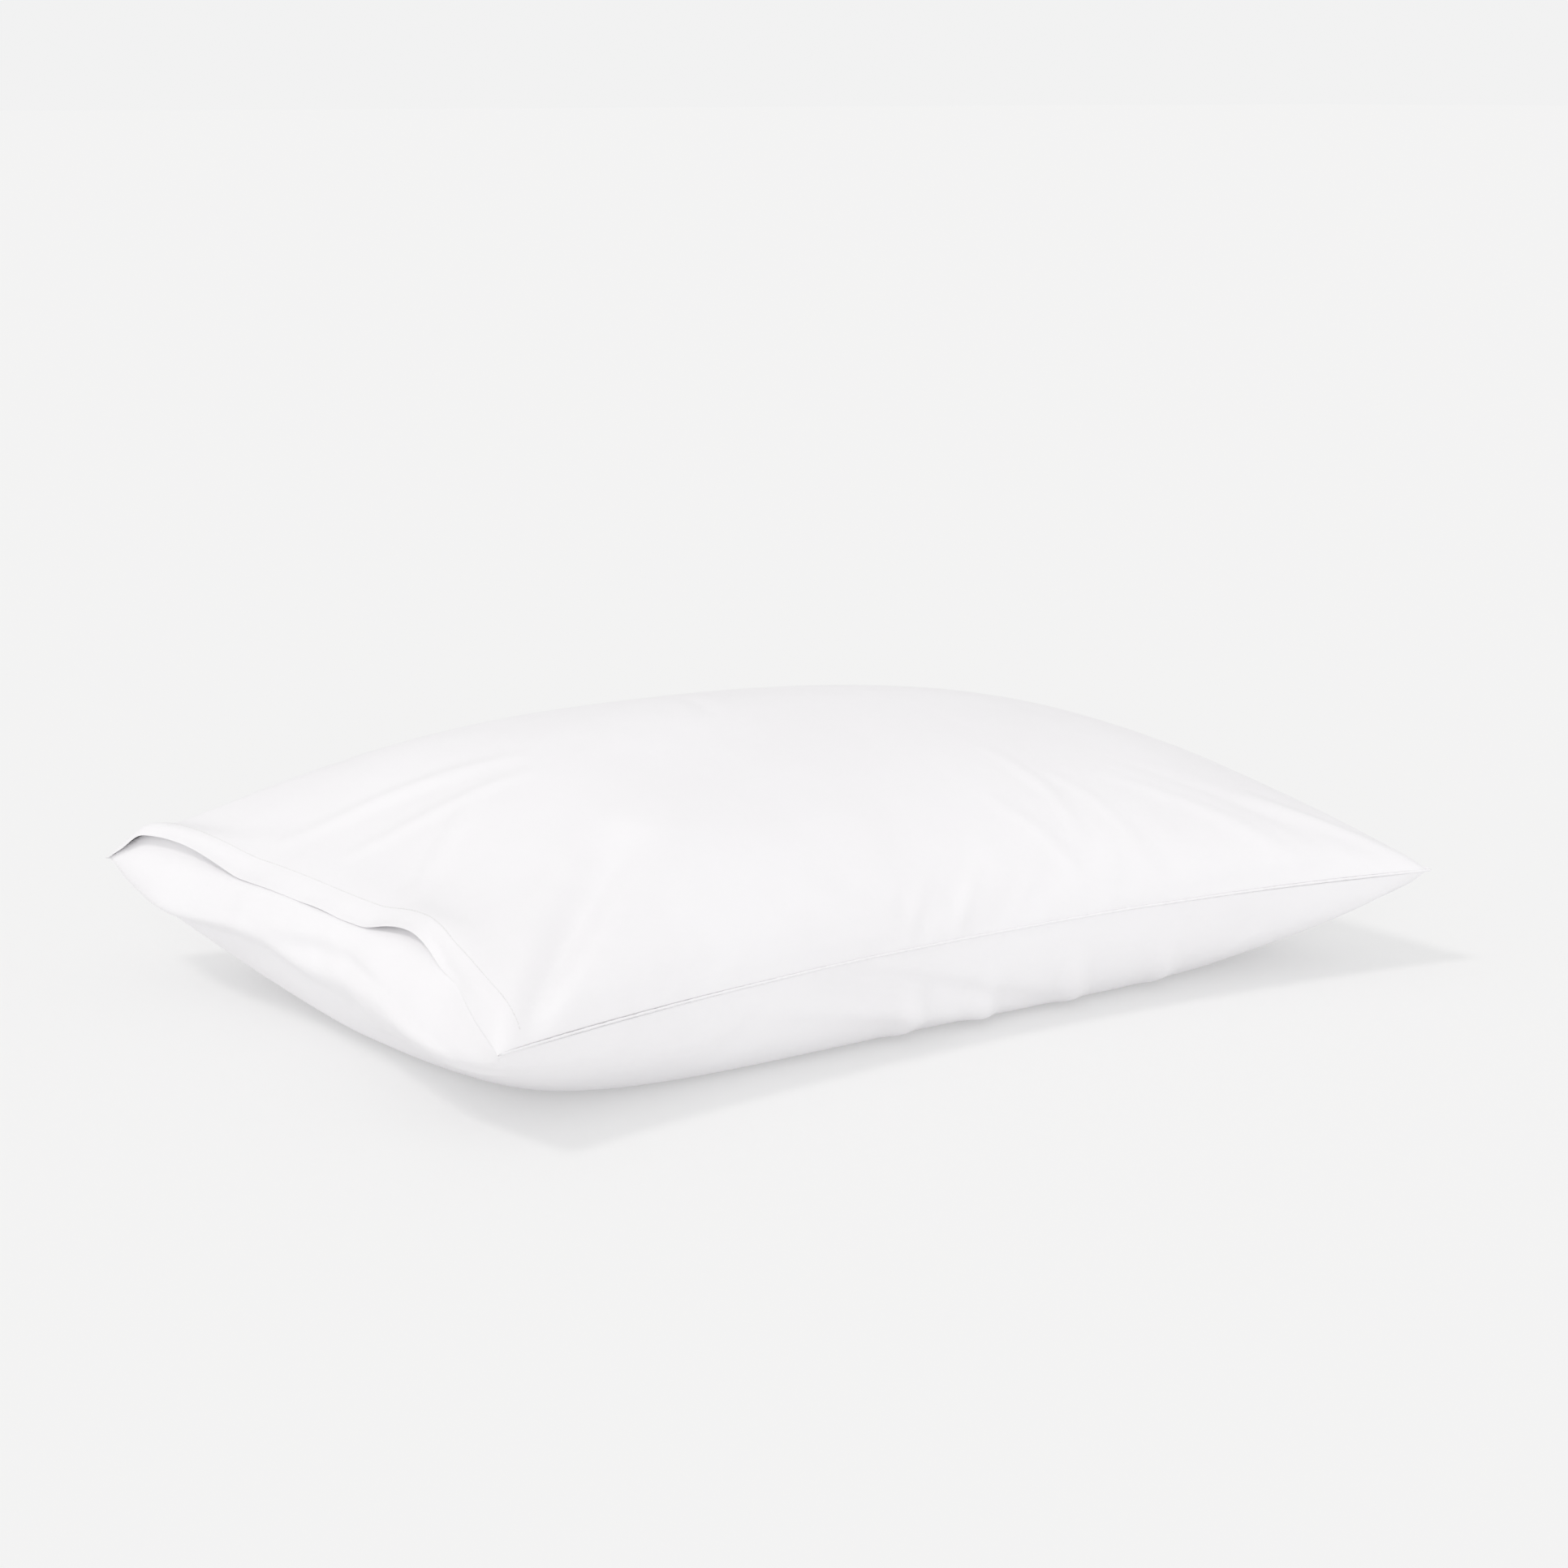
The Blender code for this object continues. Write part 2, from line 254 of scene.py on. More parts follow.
def read_points(mesh):
    """A mesh's points as an array of rows."""
    flat = np.empty(len(mesh.vertices) * 3)
    mesh.vertices.foreach_get("co", flat)
    return flat.reshape(-1, 3)


top_index, under_index = sewn_indices()
bag_points = np.concatenate([top_points.reshape(-1, 3), under_points[1:-1, 1:-1].reshape(-1, 3)])
bag_faces = np.concatenate([quads(top_index), quads(under_index, flipped=True)])
cut_plan = np.stack([cut_x, cut_y, np.full_like(cut_x, CUT_PLAN_HEIGHT)], axis=-1)
cut_points = np.concatenate([cut_plan.reshape(-1, 3), cut_plan[1:-1, 1:-1].reshape(-1, 3)])
print("bag of", len(bag_points), "points")

# %% Simulate the cloth
FRAMES = 24
PRESSURE = 0.6
HOLD = 0.03
ON_THE_BED = 0.001
BAG_MASS, MASS_SCALE = 0.15, 4


def settle(points, faces, cut, held):
    """Runs Blender's Cloth on the bag from its form, with the cut as its rest shape."""
    bag = mesh_object("bag", points, faces)
    bag.shape_key_add(name="form")
    flat = bag.shape_key_add(name="cut")
    flat.data.foreach_set("co", cut.astype(np.float32).ravel())
    group = bag.vertex_groups.new(name="hold")
    for level in np.unique(held):
        group.add(np.flatnonzero(held == level).tolist(), float(level), "REPLACE")
    cloth = bag.modifiers.new("cloth", "CLOTH")
    settings = cloth.settings
    settings.rest_shape_key = flat
    settings.vertex_group_mass = "hold"
    settings.pin_stiffness = 1.0
    settings.quality = 5
    settings.mass = BAG_MASS / len(points) * MASS_SCALE
    settings.air_damping = 1.0
    settings.tension_stiffness = settings.compression_stiffness = 25
    settings.shear_stiffness = 6
    settings.bending_stiffness = 0.05
    settings.tension_damping = settings.compression_damping = 3
    settings.shear_damping = 3
    settings.bending_damping = 0.5
    settings.use_pressure = True
    settings.uniform_pressure_force = PRESSURE
    settings.effector_weights.gravity = 0
    cloth.collision_settings.use_collision = False
    cloth.point_cache.frame_start = 1
    cloth.point_cache.frame_end = FRAMES
    scene = bpy.context.scene
    scene.frame_start, scene.frame_end = 1, FRAMES
    for number in range(1, FRAMES + 1):
        scene.frame_set(number)
    evaluated = bag.evaluated_get(bpy.context.evaluated_depsgraph_get())
    settled = read_points(evaluated.to_mesh())
    evaluated.to_mesh_clear()
    scene.frame_set(1)
    bpy.data.objects.remove(bag, do_unlink=True)
    return settled


hold = np.full(len(bag_points), HOLD)
hold[bag_points[:, 2] < ON_THE_BED] = 1.0
settled = settle(bag_points, bag_faces, cut_points, hold)
moved = settled - bag_points
print("the cloth moved up to", round(float(np.linalg.norm(moved, axis=1).max()) * 1e3, 1), "mm")

# %% [markdown]
# ## Keep the puckers, hold the size
#
# The simulation does two things at once: it wrinkles the cloth, and it swells the bag. The swelling
# would change the pillow's size, which the frame has settled. So the movement is split in two by
# averaging it over neighbouring points again and again: what is left after the averaging is the
# swelling, and the rest is the wrinkles. The wrinkles are kept whole along the seams, where a real
# case puckers, and faded over the crown, which the fill pulls smooth.

# %% Split the movement
AVERAGING_ROUNDS = 60
SWELLING_KEPT = 0.25
CROWN_WRINKLES_KEPT = 0.35
PUCKER_REACH = 0.085
edges = np.concatenate([bag_faces[:, [k, (k + 1) % 4]] for k in range(4)])
degree = np.bincount(edges.ravel(), minlength=len(bag_points))[:, None]


def averaged(values, rounds):
    """Each point's value replaced by the mean of its own and its neighbours' mean, many times."""
    for _ in range(rounds):
        total = np.stack([np.bincount(edges[:, 0], column[edges[:, 1]], len(values))
                          + np.bincount(edges[:, 1], column[edges[:, 0]], len(values))
                          for column in values.T], axis=1)
        values = (values + total / degree) / 2
    return values


swelling = averaged(moved, AVERAGING_ROUNDS)
wrinkles = averaged(moved, 1) - swelling
to_edge = np.minimum(CUT_LENGTH / 2 - np.abs(cut_x), CUT_WIDTH / 2 - np.abs(cut_y))
near_edge = np.exp(-(to_edge / PUCKER_REACH) ** 2)
keep_grid = CROWN_WRINKLES_KEPT + (1 - CROWN_WRINKLES_KEPT) * near_edge
keep = np.concatenate([keep_grid.ravel(), keep_grid[1:-1, 1:-1].ravel()])[:, None]
kept = bag_points + SWELLING_KEPT * swelling + keep * wrinkles
top_cloth, under_cloth = kept[top_index], kept[under_index]
print("wrinkles up to", round(float(np.linalg.norm(keep * wrinkles, axis=1).max()) * 1e3, 1), "mm")

# %% [markdown]
# ## Large folds
#
# Some creases don't come from the sewing. They come from how the pillow was carried and put down, so
# they are listed one by one. Each one is a line on the flat cut, in metres from the middle of the panel,
# with a height, a width and a sideways bow. Its cross section is a ridge with a shallow trough on
# either side, because the cloth that rises in a fold is drawn from beside it. A fold that starts in
# a corner fans out: it is narrow at its start and full at its end.

# %% Lay the folds
def rise_and_fall(x):
    """0 at both ends, 1 in the middle, level at the top: sin(pi x) ** 0.7."""
    return np.sin(math.pi * np.clip(x, 0, 1)) ** 0.7


def fold(start, end, height, width, bow=0.0, fan=0.0):
    """Height of one fold over the cut: (1 - q) * exp(-q), where q is (distance / width) squared."""
    start, end = np.array(start), np.array(end)
    length = np.linalg.norm(end - start)
    along_x, along_y = (end - start) / length
    from_x, from_y = cut_x - start[0], cut_y - start[1]
    along = (from_x * along_x + from_y * along_y) / length
    aside = from_y * along_x - from_x * along_y - bow * 4 * along * (1 - along)
    spread = width * (1 - fan * (1 - np.clip(along, 0, 1)))
    q = (aside / spread) ** 2
    return height * rise_and_fall(along) * (1 - q) * np.exp(-q)


TOP_FOLDS = [
    # the fold that runs up from the near corner at the mouth
    fold((-0.338, -0.256), (-0.190, -0.120), -0.0075, 0.024, bow=0.004, fan=0.65),
    fold((-0.345, -0.240), (-0.262, -0.130), 0.0022, 0.018, bow=0.002, fan=0.6),
    # three ridges that run from the mouth towards the crown
    fold((-0.322, 0.092), (-0.180, 0.004), 0.0024, 0.010, bow=0.004),
    fold((-0.310, 0.026), (-0.190, -0.018), 0.0022, 0.008, bow=-0.002),
    fold((-0.325, -0.078), (-0.225, -0.002), 0.0024, 0.009),
    # slanting creases on the near side of the closed end
    fold((0.078, -0.095), (0.090, -0.205), 0.0011, 0.007, bow=0.007),
    fold((0.098, -0.125), (0.132, -0.212), 0.0010, 0.006, bow=0.004),
    fold((0.038, -0.145), (0.084, -0.232), 0.0010, 0.006, bow=0.003),
    fold((0.135, -0.135), (0.258, -0.248), 0.0014, 0.008, bow=0.005),
    fold((0.165, -0.120), (0.285, -0.240), -0.0011, 0.008, bow=0.004),
    # short puckers above the near seam
    fold((-0.055, -0.252), (-0.030, -0.205), 0.0010, 0.006),
    fold((-0.020, -0.252), (0.006, -0.210), 0.0009, 0.006),
    fold((0.018, -0.252), (0.052, -0.214), 0.0008, 0.006),
    # a dimple beside the crown
    fold((-0.046, 0.040), (-0.064, -0.018), -0.0014, 0.008),
    # fans in the other three corners, and creases on the far side
    fold((-0.340, 0.248), (-0.215, 0.160), -0.0042, 0.015, fan=0.6),
    fold((0.345, -0.248), (0.235, -0.165), 0.0034, 0.013, fan=0.6),
    fold((0.345, 0.248), (0.230, 0.170), -0.0040, 0.014, fan=0.6),
    fold((0.345, 0.225), (0.255, 0.110), 0.0026, 0.011, fan=0.5),
    fold((-0.120, 0.250), (-0.060, 0.165), 0.0022, 0.009, bow=0.004),
    fold((0.040, 0.250), (0.085, 0.175), 0.0020, 0.008, bow=-0.003),
    fold((0.150, 0.250), (0.110, 0.180), 0.0018, 0.008),
    fold((0.345, 0.030), (0.250, 0.010), 0.0020, 0.010, bow=0.004),
    fold((0.345, -0.070), (0.265, -0.050), -0.0018, 0.009),
]
UNDER_FOLDS = [
    # a ridge under the mouth, and a soft crease that turns up towards the near corner
    fold((-0.334, 0.215), (-0.312, -0.040), 0.0026, 0.008, bow=-0.003),
    fold((-0.318, 0.060), (-0.343, -0.195), -0.0046, 0.008, bow=-0.004),
    # the ridge that runs into the tip of the near corner
    fold((-0.352, -0.256), (-0.345, -0.120), 0.0050, 0.009, bow=0.001, fan=0.5),
    # the cloth is full again below the crease
    fold((-0.292, -0.030), (-0.322, -0.215), 0.0060, 0.014, bow=-0.004),
    # the crease under the near seam
    fold((-0.135, -0.252), (0.075, -0.186), -0.0052, 0.008, bow=-0.004),
    fold((-0.150, -0.235), (0.040, -0.180), 0.0038, 0.009, bow=-0.004),
    # folds that run down to the bed along the near side
    fold((-0.040, -0.228), (-0.020, -0.150), 0.0038, 0.010),
    fold((0.015, -0.225), (0.038, -0.150), 0.0036, 0.010),
    fold((0.078, -0.225), (0.104, -0.150), 0.0040, 0.011),
    fold((0.145, -0.228), (0.168, -0.150), 0.0032, 0.010),
    fold((0.345, -0.248), (0.240, -0.170), -0.0036, 0.014, fan=0.6),
    # the far side and the closed end
    fold((-0.100, 0.250), (-0.050, 0.160), 0.0026, 0.011),
    fold((0.060, 0.250), (0.030, 0.165), 0.0024, 0.010),
    fold((0.345, 0.248), (0.240, 0.180), -0.0036, 0.014, fan=0.6),
    fold((0.350, 0.060), (0.280, 0.040), 0.0026, 0.012),
    fold((0.350, -0.050), (0.280, -0.080), 0.0024, 0.011),
    fold((-0.345, 0.248), (-0.250, 0.180), -0.0036, 0.014, fan=0.6),
]
SEAM_FADE = 0.010
BED_FADE = 0.010


def outward(points, flipped=False):
    """Unit normals of a grid of points: the cross product of its two directions."""
    normal = np.cross(np.gradient(points, axis=0), np.gradient(points, axis=1))
    normal /= np.maximum(np.linalg.norm(normal, axis=-1, keepdims=True), 1e-12)
    return -normal if flipped else normal


def faded_at_seams(height):
    """The height times a share that grows from 0 on the three sewn sides to 1 at 10 mm."""
    to_seam = np.minimum(CUT_WIDTH / 2 - np.abs(cut_y), CUT_LENGTH / 2 - cut_x)
    return height * np.clip(to_seam / SEAM_FADE, 0, 1)


top_height = faded_at_seams(sum(TOP_FOLDS))
under_height = faded_at_seams(sum(UNDER_FOLDS))
under_height = under_height * np.clip(under_cloth[..., 2] / BED_FADE, 0, 1)
top_cloth = top_cloth + outward(top_cloth) * top_height[..., None]
under_cloth = under_cloth + outward(under_cloth, flipped=True) * under_height[..., None]
under_cloth[..., 2] = np.maximum(under_cloth[..., 2], 0.0)
print(len(TOP_FOLDS), "folds on top,", len(UNDER_FOLDS), "underneath")

# %% [markdown]
# ## The open mouth
#
# At one short end the case isn't sewn shut. The lower panel rises, turns in over the insert and goes
# on as a flap under the top panel. The top panel ends in a hem, turned under once, that lies on the
# turned edge. It is fast only at the two corners, so between them it stands off in a few places. The
# largest opening is beside the far corner, and there is a lens nearer the other one. Below the hem
# the lower panel bulges out, because nothing pulls it flat.

# %% Open the mouth
CELL = CUT_LENGTH / CELLS_LONG
HEM_CELLS = 4
FLAP_CELLS = 30
HEM_REST = 0.0007
FLAP_SINK = 0.0018
HEM_FOLD = 0.0010
CORNER_FADE = 8
EDGE_WAVE = 0.0012
FLAP_FOLLOWS, SHOULDER = 0.85, 0.010
# Near the lens the hem lies a little further back and higher than the form has it.
DRAWN_BACK, DRAWN_BACK_PLACE, DRAWN_BACK_WIDTH = (0.005, 0, 0.0075), -0.50, 0.26
DRAWN_BACK_REACH = 0.08
# How far inboard of the hem the cloth is lifted by each gap, and by the hem's own thickness.
GAP_REACH, SLIT_REACH, REST_REACH = 0.036, 0.020, 0.060
# The wave on the wide gap's edge: radians for each unit across, and the peak it starts from.
WAVE_RATE, WIDE_PEAK = 36, 0.80
across = np.linspace(-1, 1, CELLS_WIDE + 1)
between_corners = 1 - np.abs(across) ** CORNER_FADE


def opening(start, peak, end, height):
    """A lens along the hem: sin ** 1.2 from 0 at the start to the height at the peak and back."""
    rise = np.clip((across - start) / (peak - start), 0, 1)
    fall = np.clip((end - across) / (end - peak), 0, 1)
    return height * np.sin(np.minimum(rise, fall) * math.pi / 2) ** 1.2


wide_opening = opening(0.36, WIDE_PEAK, 1.0, 0.0155)
wave = EDGE_WAVE * np.sin(WAVE_RATE * (across - WIDE_PEAK))
wide_opening += wave * opening(0.78, 0.90, 1.0, 1.0)
slit = opening(-0.14, -0.05, 0.06, 0.0010)
lens = opening(-0.60, -0.46, -0.25, 0.0080)
hem_rest = HEM_REST * between_corners
gapes = [(wide_opening, GAP_REACH), (slit, SLIT_REACH), (lens, GAP_REACH), (hem_rest, REST_REACH)]
inboard = np.arange(CELLS_LONG + 1)[:, None] * CELL


def eased_out(x):
    """From 1 at 0 down to 0 at 1, level at both ends."""
    x = np.clip(x, 0, 1)
    return 1 - x * x * (3 - 2 * x)


drawn_back = np.exp(-((across - DRAWN_BACK_PLACE) / DRAWN_BACK_WIDTH) ** 2) * between_corners
top_cloth += (drawn_back * eased_out(inboard / DRAWN_BACK_REACH))[..., None] * DRAWN_BACK
flap_base = top_cloth[:FLAP_CELLS + 1].copy()
hem_at_rest = top_cloth[0] + hem_rest[:, None] * [0, 0, 1]
for height, reach in gapes:
    top_cloth[..., 2] += height * eased_out(inboard / reach)
raised = sum(height * eased_out(inboard / reach) for height, reach in gapes[:3])
depth = 1 - np.exp(-inboard[:FLAP_CELLS + 1] / CELL)
flap_cloth = flap_base - outward(flap_base) * (FLAP_SINK * between_corners * depth)[..., None]
followed = FLAP_FOLLOWS * (1 - np.exp(-inboard / SHOULDER))
flap_cloth[..., 2] += (raised * followed)[:FLAP_CELLS + 1]
print("hem stands off by up to", round(float(wide_opening.max()) * 1e3, 1), "mm")

# %% Bulge the lower panel under the hem
BULGE, NEAR_BULGE = 0.0092, 0.0040
BULGE_CREST, BULGE_FOOT = 0.033, 0.052
FOOT_KEPT, FOOT_FADE = 0.12, 0.06
BULGE_MIDDLE, BULGE_POWER = -0.02, 3.0
NEAR_PLACE, NEAR_WIDTH = -0.55, 0.24
# How low the bulge reaches across the mouth: a share, less towards the far side and the near one.
REACH_SHARE, FAR_LOSS, FAR_START, NEAR_LOSS, NEAR_START = 0.94, 0.62, -0.05, 0.95, -0.32
bulge_across = np.clip(1 - np.abs(across - BULGE_MIDDLE) ** BULGE_POWER, 0, 1)
near_bulge = NEAR_BULGE * np.exp(-((across - NEAR_PLACE) / NEAR_WIDTH) ** 2)
bulge_size = BULGE * bulge_across + near_bulge
narrowing = REACH_SHARE - FAR_LOSS * np.clip(across - FAR_START, 0, 1)
narrowing = narrowing - NEAR_LOSS * np.clip(NEAR_START - across, 0, 1)
below_hem = inboard / narrowing
to_crest = np.sin(math.pi / 2 * np.clip(below_hem / BULGE_CREST, 0, 1)) ** 0.8
past_crest = (below_hem - BULGE_CREST) / (BULGE_FOOT - BULGE_CREST)
bulge_down = to_crest * (FOOT_KEPT + (1 - FOOT_KEPT) * eased_out(past_crest))
bulge_down = bulge_down * eased_out((below_hem - BULGE_FOOT) / FOOT_FADE)
bulged = bulge_size * bulge_down
under_cloth[..., 0] -= bulged
print("lower panel bulges by up to", round(float(bulged.max()) * 1e3, 1), "mm")

# %% [markdown]
# ## Sheets from grids
#
# A sheet is a grid of points with a second grid that says where each point lay on the flat cut. The
# cut's places become a UV map in metres, so that the weave follows the threads round every fold. A
# Solidify modifier gives the cloth its wall, and a Subdivision Surface rounds it.

# %% Sheet builder
CLOTH_WALL = 0.0005


def add_uv(mesh, places):
    """Writes a UV map called 'cut' from each point's place on the flat cloth, in metres."""
    layer = mesh.uv_layers.new(name="cut")
    corner = np.empty(len(mesh.loops), dtype=np.int32)
    mesh.loops.foreach_get("vertex_index", corner)
    layer.data.foreach_set("uv", places.reshape(-1, 2)[corner].astype(np.float32).ravel())


def finish_mesh(made, wall):
    """Adds the wall, if there is one, and one level of rounding, and bakes them into the mesh."""
    if wall:
        solid = made.modifiers.new("wall", "SOLIDIFY")
        solid.thickness = wall
        solid.offset = -1
    rounded = made.modifiers.new("rounding", "SUBSURF")
    rounded.levels = rounded.render_levels = 1
    evaluated = made.evaluated_get(bpy.context.evaluated_depsgraph_get())
    mesh = bpy.data.meshes.new_from_object(evaluated)
    made.modifiers.clear()
    made.data = mesh
    mesh.shade_smooth()
    return made


def sheet_object(name, points, places, flipped=False, wall=CLOTH_WALL):
    """A grid of points as one walled sheet; flipped when its outer side faces down."""
    index = np.arange(points.shape[0] * points.shape[1]).reshape(points.shape[:2])
    made = mesh_object(name, points, quads(index, flipped))
    add_uv(made.data, places)
    finish_mesh(made, wall)
    print(name, len(made.data.polygons), "faces")
    return made


# %% [markdown]
# ## The case's panels
#
# The top panel's grid starts under the hem: five rows of the turned edge, one row round the fold, and
# then the panel itself. The lower panel's grid ends on the flap's first rows, so that the turned
# edge under the hem is one unbroken piece of cloth, and the flap takes over where nobody can see.

# %% Top panel with its hem
FOLD_ROUNDNESS, FOLD_CUT = 0.7, 0.001
hem_rows = slice(HEM_CELLS, None, -1)
top_out = outward(top_cloth)
turned = (top_cloth - top_out * HEM_FOLD)[hem_rows]
fold_out = top_cloth[0] - top_cloth[1]
fold_out /= np.linalg.norm(fold_out, axis=-1, keepdims=True)
round_fold = top_cloth[0] - top_out[0] * HEM_FOLD / 2 + fold_out * HEM_FOLD * FOLD_ROUNDNESS
hemmed = np.concatenate([turned, round_fold[None], top_cloth])
hemmed_x = np.concatenate([-CUT_LENGTH - cut_x[hem_rows], cut_x[:1] - FOLD_CUT, cut_x])
hemmed_y = np.concatenate([cut_y[hem_rows], cut_y[:1], cut_y])
top_panel = sheet_object("case_top_panel_cloth", hemmed, np.stack([hemmed_x, hemmed_y], -1))

# %% Lower panel, turned in under the hem
TURNED_ROWS = 5
LIP_FORWARD, LIP_UNDER = 0.0014, 0.0006
lip = hem_at_rest - between_corners[:, None] * [LIP_FORWARD, 0, LIP_UNDER]
lower_points = np.concatenate([flap_cloth[TURNED_ROWS:0:-1], lip[None], under_cloth[1:]])
lower_x = np.concatenate([-CUT_LENGTH - cut_x[TURNED_ROWS:0:-1], cut_x])
lower_y = np.concatenate([cut_y[TURNED_ROWS:0:-1], cut_y])
lower_panel = sheet_object("case_bottom_panel_cloth", lower_points, np.stack([lower_x, lower_y], -1),
                           flipped=True)

# %% Flap and its hem
FLAP_HEM_CELLS = 4
flap_rows = slice(TURNED_ROWS, FLAP_CELLS + 1)
flap_places = np.stack([-CUT_LENGTH - cut_x, cut_y], -1)
tuck_flap = sheet_object("case_tuck_flap_cloth", flap_cloth[flap_rows], flap_places[flap_rows])
hem_strip = slice(FLAP_CELLS - FLAP_HEM_CELLS, FLAP_CELLS + 1)
flap_hem_points = (flap_cloth - outward(flap_cloth) * HEM_FOLD)[hem_strip]
flap_hem = sheet_object("case_flap_hem_cloth", flap_hem_points, flap_places[hem_strip])

# %% [markdown]
# ## Seams
#
# The two panels are sewn right sides together and turned, so the seam shows as a narrow welt where
# the layers inside lift the cloth. A welt is a tube swept along the sewn edge, a little thicker
# and thinner by turns where the thread has drawn the cloth up between stitches.

# %% Seam tubes
WELT_RADIUS = 0.0008
WELT_PITCH = 0.0025
# Depth and pitch of the two waves in a seam's thickness, and the least radius it comes down to.
PUCKERS = ((0.10, 0.0073), (0.06, 0.0191))
THINNEST = 0.00008


def resampled(path, step):
    """The path with its points spread evenly, about one step apart."""
    run = np.concatenate([[0], np.cumsum(np.linalg.norm(np.diff(path, axis=0), axis=1))])
    even = np.linspace(0, run[-1], max(8, round(run[-1] / step)) + 1)
    return even, np.stack([np.interp(even, run, column) for column in path.T], axis=1)


def tube_points(path, run, radius, sides):
    """Rings square to the path, closing to a round tip.

    Their size is radius * sqrt(1 - (1 - q) ** 2), q being distance from the tip / (2 * radius)."""
    tangent = np.gradient(path, axis=0)
    tangent /= np.linalg.norm(tangent, axis=1, keepdims=True)
    side = np.cross(tangent, [0, 0, 1.0])
    side /= np.linalg.norm(side, axis=1, keepdims=True)
    upward = np.cross(side, tangent)
    from_tip = np.minimum(run, run[-1] - run) / (2 * radius)
    taper = np.sqrt(1 - (1 - np.clip(from_tip, 0.0, 1)) ** 2)
    pucker = sum((depth * np.sin(run * 2 * math.pi / pitch) for depth, pitch in PUCKERS), start=1)
    size = np.maximum(radius * taper * pucker, THINNEST)[:, None, None]
    angle = np.linspace(0, 2 * math.pi, sides, endpoint=False)[None, :, None]
    return path[:, None] + size * (np.cos(angle) * side[:, None] + np.sin(angle) * upward[:, None])


def capped_faces(rings, sides):
    """Quads between the rings of a tube, and fans to the two tip points that follow the rings."""
    index = np.arange(rings * sides).reshape(rings, sides)
    looped = np.concatenate([index, index[:, :1]], axis=1)
    first_tip, last_tip = rings * sides, rings * sides + 1
    first, last = looped[0].tolist(), looped[-1].tolist()
    faces = quads(looped).tolist()
    faces += [[first_tip, b, a] for a, b in zip(first[:-1], first[1:])]
    faces += [[last_tip, a, b] for a, b in zip(last[:-1], last[1:])]
    return faces


def tube_object(name, path, radius=WELT_RADIUS, step=WELT_PITCH, sides=8):
    """A closed tube along a path of points, with its run and girth in metres as its UV map."""
    run, even = resampled(path, step)
    rings = tube_points(even, run, radius, sides)
    points = np.concatenate([rings.reshape(-1, 3), even[:1], even[-1:]])
    made = mesh_object(name, points, capped_faces(len(even), sides))
    girth = np.linspace(0, 2 * math.pi * radius, sides, endpoint=False)
    places = np.stack(np.broadcast_arrays(run[:, None], girth[None, :]), axis=-1).reshape(-1, 2)
    add_uv(made.data, np.concatenate([places, [[0, 0]], [[run[-1], 0]]]))
    print(name, f"{run[-1]:.3f} m,", len(made.data.polygons), "faces")
    return made


near_path, far_path = top_cloth[:, 0], top_cloth[:, -1]
near_seam = tube_object("case_front_seam_welt", near_path)
far_seam = tube_object("case_rear_seam_welt", far_path)
end_seam = tube_object("case_end_seam_welt", top_cloth[-1, :])

# %% [markdown]
# ## Stitches
#
# The hem is held by a line of lockstitches 18 mm in from the edge. Each stitch is a short capsule of
# thread lying on the cloth, and the cloth dips a little between them. One capsule is computed, then
# carried to every stitch at once as a whole array.

# %% Stitch rows
STITCH_PITCH, STITCH_LENGTH, THREAD_RADIUS = 0.0029, 0.0021, 0.00018


def capsule(rings=5, sides=6):
    """A unit capsule along its first axis: rings of radius sqrt(1 - x ** 4), closed at both poles."""
    x = np.linspace(-0.92, 0.92, rings)[:, None]
    angle = np.linspace(0, 2 * math.pi, sides, endpoint=False)[None, :]
    size = np.sqrt(1 - x ** 4)
    body = np.stack(np.broadcast_arrays(x, size * np.cos(angle), size * np.sin(angle)), axis=-1)
    points = np.concatenate([body.reshape(-1, 3), [[-1, 0, 0], [1, 0, 0]]])
    return points, capped_faces(rings, sides)


def stitch_row(name, path, normal, lift=0.0):
    """Capsules along a path, each turned to the path and the cloth's normal there."""
    run, even = resampled(path, STITCH_PITCH)
    centre = (even[:-1] + even[1:]) / 2
    along = even[1:] - even[:-1]
    along /= np.linalg.norm(along, axis=1, keepdims=True)
    up = np.stack([np.interp(np.linspace(0, 1, len(centre)), np.linspace(0, 1, len(normal)), column)
                   for column in normal.T], axis=1)
    side = np.cross(up, along)
    side /= np.linalg.norm(side, axis=1, keepdims=True)
    unit, unit_faces = capsule()
    scaled = unit * [STITCH_LENGTH / 2, THREAD_RADIUS, THREAD_RADIUS]
    points = (centre + up * lift)[:, None] + scaled[None, :, 0, None] * along[:, None]
    points = points + scaled[None, :, 1, None] * side[:, None] + scaled[None, :, 2, None] * up[:, None]
    faces = [[corner + start for corner in face]
             for start in range(0, len(centre) * len(unit), len(unit)) for face in unit_faces]
    made = mesh_object(name, points, faces)
    print(name, len(centre), "stitches")
    return made


SIDE_MARGIN_CELLS = 1
LINE_OUTER, LINE_INNER = 0.35, 0.65
THREAD_LIFT = 0.3
stitched = slice(SIDE_MARGIN_CELLS, -SIDE_MARGIN_CELLS)
hem_line = top_cloth[HEM_CELLS - 1] * LINE_OUTER + top_cloth[HEM_CELLS] * LINE_INNER
hem_stitches = stitch_row("mouth_hem_stitch_thread", hem_line[stitched], top_out[HEM_CELLS][stitched],
                          lift=THREAD_RADIUS * THREAD_LIFT)

# %% [markdown]
# ## The insert
#
# Inside lies the pillow proper: a ticking bag of two sheets with a corded edge seam, closed by hand
# stitching at one end, and full of fibre. It is hidden, but it is what fills the case, so it is
# made on the same form, a little smaller all round and lower than the flap.

